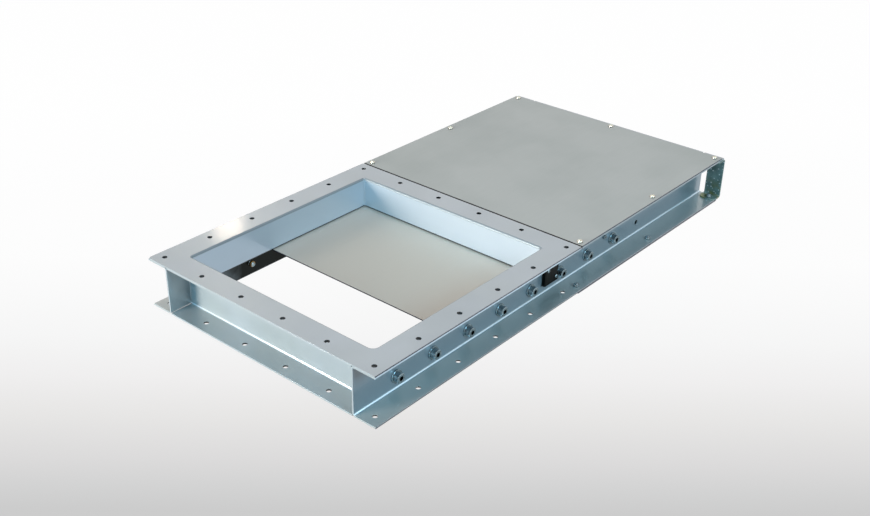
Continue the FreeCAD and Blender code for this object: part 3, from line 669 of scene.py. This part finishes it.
def spun(profile, steps, closed=False, turn=360.0):
    # A turned shape about Z from radius and height in millimetres
    mesh = bmesh.new()
    points = [mesh.verts.new((radius * mm, 0, height * mm)) for radius, height in profile]
    pairs = list(zip(points, points[1:])) + ([(points[-1], points[0])] if closed else [])
    edges = [mesh.edges.new(pair) for pair in pairs]
    bmesh.ops.spin(mesh, geom=points + edges, cent=(0, 0, 0), axis=(0, 0, 1),
                   angle=math.radians(turn), steps=steps, use_merge=turn == 360.0)
    bmesh.ops.remove_doubles(mesh, verts=mesh.verts, dist=tiny)
    if turn != 360.0:
        bmesh.ops.holes_fill(mesh, edges=mesh.edges, sides=0)
    bmesh.ops.recalc_face_normals(mesh, faces=mesh.faces)
    return mesh


def hexCorner(acrossFlats):
    return acrossFlats / math.sqrt(3)


def hexSocket(mesh, acrossFlats, top, depth, steps):
    # Closes the open round top of a head with a flat and a hexagon socket
    rim = [edge for edge in mesh.edges
           if edge.is_boundary and all(abs(vert.co.z - top * mm) < tiny for vert in edge.verts)]
    before = set(mesh.edges)
    bmesh.ops.create_circle(mesh, segments=6, radius=hexCorner(acrossFlats) * mm)
    sides = [edge for edge in mesh.edges if edge not in before]
    corners = list({vert for edge in sides for vert in edge.verts})
    bmesh.ops.translate(mesh, vec=(0, 0, top * mm), verts=corners)
    bmesh.ops.subdivide_edges(mesh, edges=sides, cuts=steps // 6 - 1)
    sides = [edge for edge in mesh.edges if edge not in before]
    bmesh.ops.bridge_loops(mesh, edges=rim + sides)
    sides = [edge for edge in sides if edge.is_valid and edge.is_boundary]
    walls = bmesh.ops.extrude_edge_only(mesh, edges=sides)["geom"]
    lowered = [item for item in walls if isinstance(item, bmesh.types.BMVert)]
    bmesh.ops.translate(mesh, vec=(0, 0, -depth * mm), verts=lowered)
    floorEdges = [item for item in walls if isinstance(item, bmesh.types.BMEdge)
                  and all(vert in lowered for vert in item.verts)]
    bmesh.ops.edgeloop_fill(mesh, edges=floorEdges)
    bmesh.ops.recalc_face_normals(mesh, faces=mesh.faces)


def joinCopies(whole, pattern, places, turn=None):
    # Adds a turned copy of the pattern to a mesh at each place, in metres
    data = bpy.data.meshes.new("pattern")
    pattern.to_mesh(data)
    pattern.free()
    for place in places:
        before = set(whole.verts)
        whole.from_mesh(data)
        fresh = [vert for vert in whole.verts if vert not in before]
        if turn:
            bmesh.ops.rotate(whole, cent=(0, 0, 0), matrix=turn, verts=fresh)
        bmesh.ops.translate(whole, vec=place, verts=fresh)
    bpy.data.meshes.remove(data)
    return whole


def copies(pattern, places, turn=None):
    return joinCopies(bmesh.new(), pattern, places, turn)


def threadProfile(radius, low, high, pitch=1.0, depth=0.45):
    # Grooves of a thread's rough shape between two heights
    points = []
    height = low
    while height + pitch <= high:
        points += [(radius - depth, height), (radius, height + pitch / 2)]
        height += pitch
    return points + [(radius - depth, height)]


# Folded steel: the frame's sheets with their cut edges eased, so that they catch the light

easedValues = {
    "inlet_ring": 0.35,
    "side_channel_right": 0.45,
    "side_channel_left": 0.45,
    "front_channel": 0.45,
    "rear_channel": 0.45,
    "rear_lower_crossbar": 0.45,
    "housing_top_cover": 0.35,
    "housing_bottom_cover": 0.4,
    "end_bracket_right": 0.5,
    "end_bracket_left": 0.5,
    "blade": 0.35,
    "blade_lug": 0.4,
    "top_cover_nuts": 0.6,
    "bottom_cover_nuts": 0.6,
    "roller_washers_right": 0.35,
    "roller_washers_left": 0.35,
    "switch_plate": 0.25,
}
easingAngle = 50.0  # degrees: sharper edges than this are eased
joinAngle = 0.4     # degrees: faces that meet flatter than this become one

# The photo shows the ring's two inner corners on the right rounder than the others
cornerValues = {
    "opening": 436.0,
    "radius": 3.0,
    "reach": 7.1,  # the fold's outermost arc around such a corner
    "wider": (((-1, -1), 11.0), ((1, -1), 5.5)),
}


def widenCorners(mesh):
    inset = (cornerValues["opening"] / 2 - cornerValues["radius"]) * mm
    for (signX, signY), radius in cornerValues["wider"]:
        grow = (radius - cornerValues["radius"]) * mm
        for vert in mesh.verts:
            reach = Vector((vert.co.x * signX - inset, vert.co.y * signY - inset))
            if min(reach) > -10 * tiny and 1 * mm < reach.length < cornerValues["reach"] * mm:
                move = reach.normalized() * grow
                vert.co.x += signX * (move.x - grow)
                vert.co.y += signY * (move.y - grow)


def easedCopy(node, ease):
    mesh = bmesh.new()
    mesh.from_mesh(nodes[node].data)
    if node == "inlet_ring":
        widenCorners(mesh)
    bmesh.ops.remove_doubles(mesh, verts=mesh.verts, dist=10 * tiny)
    bmesh.ops.dissolve_limit(mesh, angle_limit=math.radians(joinAngle), verts=mesh.verts,
                             edges=mesh.edges, use_dissolve_boundaries=False)
    sharp = [edge for edge in mesh.edges if len(edge.link_faces) == 2
             and edge.calc_face_angle() > math.radians(easingAngle)]
    bmesh.ops.bevel(mesh, geom=sharp, offset=ease * mm, offset_type="OFFSET", segments=2,
                    affect="EDGES", profile=0.5, material=-1, clamp_overlap=True)
    smooth(mesh)
    addPiece(node + "_eased", mesh, slotOf[node], bodyOf[node], [node], easingAngle)


for node, ease in easedValues.items():
    easedCopy(node, ease)
print("folded sheets eased")


# Roller screws: knurled cap heads outside the webs, journals and clips for the rollers inside

rollerValues = {
    "count": 8,
    "headRadius": 9.0,
    "headHeight": 9.5,
    "headBevel": 0.9,
    "headCrown": 1.0,   # flat ring inside the bevel
    "knurlStart": 0.8,
    "knurlDepth": 0.2,  # drawn a little coarse, 36 ribs round the head
    "socket": 8.0,
    "socketDepth": 2.0,
    "socketRim": 0.35,
    "shankRadius": 5.0,
    "axleRadius": 3.0,
    "axleLength": 7.2,
    "seatRadius": 2.5,  # the smaller end that carries the clip
    "seatLength": 0.8,
    "chamfer": 0.4,
    "steps": 72,
}

clipValues = {
    "inner": 2.5,
    "outer": 4.5,
    "round": (0.15, 0.12),
    "turn": 312.0,  # degrees, the rest is the clip's open mouth
    "steps": 40,
}

# half profile of a roller's ends: radius, and how far it lies inside the end face
bushValues = {
    "ends": ((3.05, 0.3), (3.35, 0.0), (5.0, 0.0), (5.5, 0.5)),
    "steps": 48,
}


def rollerPlaces(side):
    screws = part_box(f"roller_screws_{side}")
    first = screws[0].x + rollerValues["headRadius"] * mm
    last = screws[1].x - rollerValues["headRadius"] * mm
    height = (screws[0].z + screws[1].z) / 2
    step = (last - first) / (rollerValues["count"] - 1)
    return [(first + step * count, height) for count in range(rollerValues["count"])]


def outwardTurn(side):
    # Turns a shape made along Z so that its top points out of that side of the frame
    return Matrix.Rotation(math.radians(90 if side == "right" else -90), 3, "X")


def makeRollerScrews(side):
    values = rollerValues
    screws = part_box(f"roller_screws_{side}")
    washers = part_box(f"roller_washers_{side}")
    sign = -1 if side == "right" else 1
    ends = sorted(abs(value) for value in (screws[0].y, screws[1].y))
    seat = max(abs(washers[0].y), abs(washers[1].y))  # the washer's outer face
    inner = (ends[0] - seat) / mm                     # how far the journal reaches in
    radius, height, bevel = values["headRadius"], values["headHeight"], values["headBevel"]
    shank, axle, clipSeat = values["shankRadius"], values["axleRadius"], values["seatRadius"]
    chamfer, ledge = values["chamfer"], inner + values["seatLength"]
    shoulder = inner + values["axleLength"]
    profile = [(0, inner), (clipSeat - chamfer, inner), (clipSeat, inner + chamfer),
               (clipSeat, ledge), (axle, ledge), (axle, shoulder), (shank - chamfer, shoulder),
               (shank, shoulder + chamfer), (shank, 0), (radius - chamfer, 0), (radius, chamfer),
               (radius, values["knurlStart"]), (radius, height - bevel - 0.2),
               (radius - 0.25, height - bevel * 0.45), (radius - bevel, height),
               (radius - bevel - values["headCrown"], height),
               (hexCorner(values["socket"]) + values["socketRim"], height)]
    mesh = spun(profile, values["steps"])
    knurled = [vert for vert in mesh.verts
               if vert.co.xy.length > radius * mm - tiny and vert.co.z > 0.5 * mm]
    for vert in knurled:
        rib = round(math.degrees(math.atan2(vert.co.y, vert.co.x)) * values["steps"] / 360)
        if rib % 2:
            vert.co.xy *= 1 - values["knurlDepth"] / radius
    hexSocket(mesh, values["socket"], height, values["socketDepth"], values["steps"])
    smooth(mesh)
    spots = [(x, sign * seat, z) for x, z in rollerPlaces(side)]
    addPiece(f"roller_screws_{side}_turned", copies(mesh, spots, outwardTurn(side)),
             "fastener_steel", "frame", [f"roller_screws_{side}"])


def makeRollerClips(side):
    inner, outer = clipValues["inner"], clipValues["outer"]
    low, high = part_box(f"roller_clips_{side}")
    half = (high.y - low.y) / 2 / mm
    across, up = clipValues["round"]
    profile = [(inner, -half), (outer - across, -half), (outer, -half + up), (outer, half - up),
               (outer - across, half), (inner, half)]
    mesh = spun(profile, clipValues["steps"], closed=True, turn=clipValues["turn"])
    smooth(mesh)
    spots = [(x, (low.y + high.y) / 2, z) for x, z in rollerPlaces(side)]
    addPiece(f"roller_clips_{side}_sprung", copies(mesh, spots, outwardTurn(side)),
             "fastener_steel", "frame", [f"roller_clips_{side}"])


def makeRollers(side):
    for count, (x, z) in enumerate(rollerPlaces(side), 1):
        node = f"roller_{side}_{count}"
        low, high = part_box(node)
        half = (high.y - low.y) / 2 / mm
        profile = [(radius, -half + inset) for radius, inset in bushValues["ends"]]
        profile += [(radius, half - inset) for radius, inset in reversed(bushValues["ends"])]
        mesh = spun(profile, bushValues["steps"], closed=True)
        smooth(mesh)
        turned = copies(mesh, [(x, (low.y + high.y) / 2, z)], outwardTurn(side))
        addPiece(f"{node}_bush", turned, "bronze", node, [node])


for side in ("right", "left"):
    makeRollerScrews(side)
    makeRollerClips(side)
    makeRollers(side)
print("roller screws, clips and rollers made")


# Cover screws: button heads above with thread ends below, countersunk screws underneath

coverScrewValues = {
    "headRadius": 5.25,
    "headHeight": 3.3,
    "headFlank": 0.9,   # upright part of a button head
    "headFoot": (0.2, 0.25),
    "headInset": 2.7,   # how far the button's crown draws in
    "crownTurns": (15, 30, 45, 58),
    "socket": 4.0,
    "socketDepth": 1.3,
    "socketRim": 0.3,
    "sunkRim": 0.3,
    "shankRadius": 3.0,
    "thread": 9.0,
    "threadStart": 0.3,
    "threadEnd": 0.9,
    "steps": 36,
}

webScrewValues = {
    "webThickness": 3.0,
    "shankRadius": 2.0,
    "chamfer": 0.4,
    "head": ((3.8, 0), (4, 0.2), (4, 4.2), (3.75, 4.8), (3.2, 5), (2.6, 5)),
    "headHeight": 5,
    "socket": 3.2,
    "socketDepth": 2.2,
    "steps": 36,
}

rivetValues = {
    "shankRadius": 2.5,
    # the head's radii, and how far each lies under its top
    "head": ((4.5, 2.5), (4.2, 1.6), (3.3, 0.7), (1.8, 0.15), (0, 0)),
    "steps": 32,
}


def looseParts(node):
    # The corners of the box around each loose part of a node: one for each of its screws
    mesh = bmesh.new()
    mesh.from_mesh(nodes[node].data)
    bmesh.ops.remove_doubles(mesh, verts=mesh.verts, dist=10 * tiny)
    waiting = set(mesh.verts)
    boxes = []
    while waiting:
        group = {waiting.pop()}
        edge = list(group)
        while edge:
            vert = edge.pop()
            for link in vert.link_edges:
                other = link.other_vert(vert)
                if other in waiting:
                    waiting.discard(other)
                    group.add(other)
                    edge.append(other)
        low = Vector(min(vert.co[axis] for vert in group) for axis in range(3))
        high = Vector(max(vert.co[axis] for vert in group) for axis in range(3))
        boxes.append((low, high))
    mesh.free()
    return boxes


def makeTopScrews():
    values = coverScrewValues
    radius, height, shank = values["headRadius"], values["headHeight"], values["shankRadius"]
    flank, steps, start = values["headFlank"], values["steps"], values["threadStart"]
    widest = math.radians(values["crownTurns"][-1])
    whole = bmesh.new()
    for low, high in looseParts("top_cover_screws"):
        tip = (low.z - high.z) / mm + height
        end = tip + start + values["thread"]
        profile = [(0, tip), (shank - values["threadEnd"], tip)]
        profile += threadProfile(shank, tip + start, end)
        across, up = values["headFoot"]
        profile += [(shank, end + start), (shank, 0), (radius - across, 0), (radius, up),
                    (radius, flank)]
        for angle in values["crownTurns"]:
            turn = math.radians(angle)
            profile.append((radius - values["headInset"] * (1 - math.cos(turn)) * 0.95,
                            flank + (height - flank) * math.sin(turn) / math.sin(widest)))
        profile.append((hexCorner(values["socket"]) + values["socketRim"], height))
        mesh = spun(profile, steps)
        hexSocket(mesh, values["socket"], height, values["socketDepth"], steps)
        smooth(mesh)
        middle = (low + high) / 2
        joinCopies(whole, mesh, [(middle.x, middle.y, high.z - height * mm)])
    addPiece("top_cover_screws_button", whole, "fastener_steel", "frame", ["top_cover_screws"])


def makeBottomScrews():
    values = coverScrewValues
    shank, rim, start = values["shankRadius"], values["sunkRim"], values["threadStart"]
    whole = bmesh.new()
    for low, high in looseParts("bottom_cover_screws"):
        tip = (high.z - low.z) / mm
        head = (high.x - low.x) / 2 / mm
        begin = tip - start - values["thread"]
        profile = [(hexCorner(values["socket"]) + values["socketRim"], 0), (head - rim, 0),
                   (head, rim), (shank, head - shank + rim), (shank, begin - start)]
        profile += [(radius, begin + height)
                    for radius, height in threadProfile(shank, 0, values["thread"])]
        profile += [(shank - values["threadEnd"], tip), (0, tip)]
        flipped = [(radius, -height) for radius, height in profile]
        mesh = spun(flipped, values["steps"])
        hexSocket(mesh, values["socket"], 0, values["socketDepth"], values["steps"])
        smooth(mesh)
        middle = (low + high) / 2
        joinCopies(whole, mesh, [(middle.x, middle.y, low.z)], Matrix.Rotation(math.pi, 3, "X"))
    addPiece("bottom_cover_screws_sunk", whole, "fastener_steel", "frame", ["bottom_cover_screws"])


def makeWebScrew():
    values = webScrewValues
    low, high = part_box("web_screw")
    middle = (low + high) / 2
    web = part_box("side_channel_right")[1].y - values["webThickness"] * mm  # the web's outer face
    inner = (web - high.y) / mm
    shank, chamfer = values["shankRadius"], values["chamfer"]
    profile = [(0, inner), (shank - chamfer, inner), (shank, inner + chamfer), (shank, 0)]
    mesh = spun(profile + list(values["head"]), values["steps"])
    hexSocket(mesh, values["socket"], values["headHeight"], values["socketDepth"],
              values["steps"])
    smooth(mesh)
    placed = copies(mesh, [(middle.x, web, middle.z)], outwardTurn("right"))
    addPiece("web_screw_turned", placed, "fastener_steel", "frame", ["web_screw"])


def makeRivets():
    shank = rivetValues["shankRadius"]
    whole = bmesh.new()
    for low, high in looseParts("lug_rivets"):
        length = (high.z - low.z) / mm
        head = [(radius, length - drop) for radius, drop in rivetValues["head"]]
        mesh = spun([(0, 0), (shank, 0), (shank, head[0][1])] + head, rivetValues["steps"])
        smooth(mesh)
        middle = (low + high) / 2
        joinCopies(whole, mesh, [(middle.x, middle.y, low.z)])
    addPiece("lug_rivets_domed", whole, "fastener_steel", "blade", ["lug_rivets"])


makeTopScrews()
makeBottomScrews()
makeWebScrew()
makeRivets()
print("cover screws, web screw and rivets made")


# Position switch: a moulded block with a lid line, two pan-head screws and a cable socket

switchValues = {
    "plateRim": 1.0,  # the block ends this far inside its plate
    "edge": 1.3,
    "lidRim": 2.2,
    "lidStep": 0.3,
    "lidGroove": 0.5,
    "lidFloor": 0.35,
    "sensor": 14.0,
    "sensorSunk": 0.5,
    "cableSocket": ((2.0, 0), (2.0, 7), (2.9, 7), (3.25, 6.6), (3.25, 1.6), (2.9, 1.3),
                    (3.25, 1.0), (3.25, 0)),
    "steps": 36,
}

switchScrewValues = {
    "headRadius": 3.5,
    "headHeight": 2.6,
    # how far the pan head draws in, and at which height
    "crown": ((0.2, 0), (0, 0.2), (0, 1.2), (0.3, 1.9), (0.9, 2.4), (1.6, 2.6)),
    "shankRadius": 2.0,
    "chamfer": 0.4,
    "socket": 2.5,
    "socketDepth": 1.4,
    "socketReach": 1.9,
    "steps": 36,
}


def makeSwitchBody():
    values = switchValues
    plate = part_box("switch_plate")
    low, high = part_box("switch_body")
    front, back = low.y, plate[0].y
    top = plate[1].z - values["plateRim"] * mm
    mesh = bmesh.new()
    bmesh.ops.create_cube(mesh, size=1)
    size = (high.x - low.x, back - front, top - low.z)
    middle = ((low.x + high.x) / 2, (front + back) / 2, (low.z + top) / 2)
    bmesh.ops.scale(mesh, vec=size, verts=mesh.verts)
    bmesh.ops.translate(mesh, vec=middle, verts=mesh.verts)
    keep = [edge for edge in mesh.edges
            if not all(abs(vert.co.y - back) < tiny for vert in edge.verts)]
    bmesh.ops.bevel(mesh, geom=keep, offset=values["edge"] * mm, offset_type="OFFSET", segments=3,
                    affect="EDGES", profile=0.5, material=-1, clamp_overlap=True)
    lid = max((face for face in mesh.faces if face.normal.y < -0.99), key=lambda f: f.calc_area())
    step, groove = values["lidStep"], values["lidGroove"]
    for width, depth in ((values["lidRim"], 0), (step, -groove), (values["lidFloor"], 0),
                         (step, groove)):
        bmesh.ops.inset_region(mesh, faces=[lid], thickness=width * mm, depth=depth * mm)
    # the sensing face behind the block
    sensor = bmesh.ops.create_cube(mesh, size=1)["verts"]
    sunk, width = values["sensorSunk"] * mm, values["sensor"] * mm
    bmesh.ops.scale(mesh, vec=(width, high.y - back + sunk, width), verts=sensor)
    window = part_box("blade")
    bmesh.ops.translate(mesh, vec=(middle[0], (high.y + back - sunk) / 2,
                                   (window[0].z + window[1].z) / 2), verts=sensor)
    # the cable socket on top
    socket = spun(values["cableSocket"], values["steps"], closed=True)
    joinCopies(mesh, socket, [(middle[0], middle[1], top)])
    smooth(mesh)
    addPiece("switch_body_moulded", mesh, "black_plastic", "frame", ["switch_body"])


def makeSwitchScrews():
    values = switchScrewValues
    low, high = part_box("switch_screws")
    radius, height = values["headRadius"], values["headHeight"]
    shank, chamfer = values["shankRadius"], values["chamfer"]
    inner = (low.y - high.y) / mm + height
    profile = [(0, inner), (shank - chamfer, inner), (shank, inner + chamfer), (shank, 0)]
    profile += [(radius - inset, level) for inset, level in values["crown"]]
    profile.append((values["socketReach"], height))
    mesh = spun(profile, values["steps"])
    hexSocket(mesh, values["socket"], height, values["socketDepth"], values["steps"])
    smooth(mesh)
    face = low.y + height * mm
    spots = [(low.x + radius * mm, face, high.z - radius * mm),
             (high.x - radius * mm, face, low.z + radius * mm)]
    addPiece("switch_screws_panhead", copies(mesh, spots, outwardTurn("right")),
             "fastener_steel", "frame", ["switch_screws"])


makeSwitchBody()
makeSwitchScrews()
print("position switch made")


# Welds: one bead up each corner of the skirt, and one where the front channel meets each web

weldValues = {
    "ripple": 1.1,              # millimetres from one ripple to the next
    "rippleDepth": 0.88,        # a bead's radius between its ripples, as a share of the full one
    "rippleTurns": (0.1, 0.5),  # where in each ripple the bead is thinnest and thickest
    "cornerRadius": 1.6,
    "cornerPlace": 217.1,
    "cornerStart": 0.8,
    "cornerShort": 6.5,
    "frontRadius": 2.0,
    "frontPlace": (-224.3, 220.7),
    "frontStart": 6.0,
    "frontShort": 12.0,
    "steps": 16,
}


def weldBead(length, radius):
    # A rippled bead that runs straight up
    steps = max(2, round(length / mm / weldValues["ripple"]))
    rise = length / mm / steps
    thin, thick = weldValues["rippleTurns"]
    profile = [(0, 0)]
    for count in range(steps):
        base = count * rise
        profile += [(radius * weldValues["rippleDepth"], base + thin * rise),
                    (radius, base + thick * rise)]
    profile.append((0, length / mm))
    mesh = spun(profile, weldValues["steps"])
    for face in mesh.faces:
        face.smooth = True
    return mesh


def makeWelds():
    values = weldValues
    corner = values["cornerPlace"] * mm
    frontX, frontY = (part * mm for part in values["frontPlace"])
    whole = bmesh.new()
    low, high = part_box("inlet_ring")
    for x in (-corner, corner):
        for y in (-corner, corner):
            bead = weldBead(high.z - low.z - values["cornerShort"] * mm, values["cornerRadius"])
            joinCopies(whole, bead, [(x, y, low.z + values["cornerStart"] * mm)])
    low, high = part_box("front_channel")
    for y in (-frontY, frontY):
        bead = weldBead(high.z - low.z - values["frontShort"] * mm, values["frontRadius"])
        joinCopies(whole, bead, [(frontX, y, low.z + values["frontStart"] * mm)])
    addPiece("weld_beads", whole, "frame_steel", "frame", sharpAngle=80.0)


makeWelds()
print("welds laid")
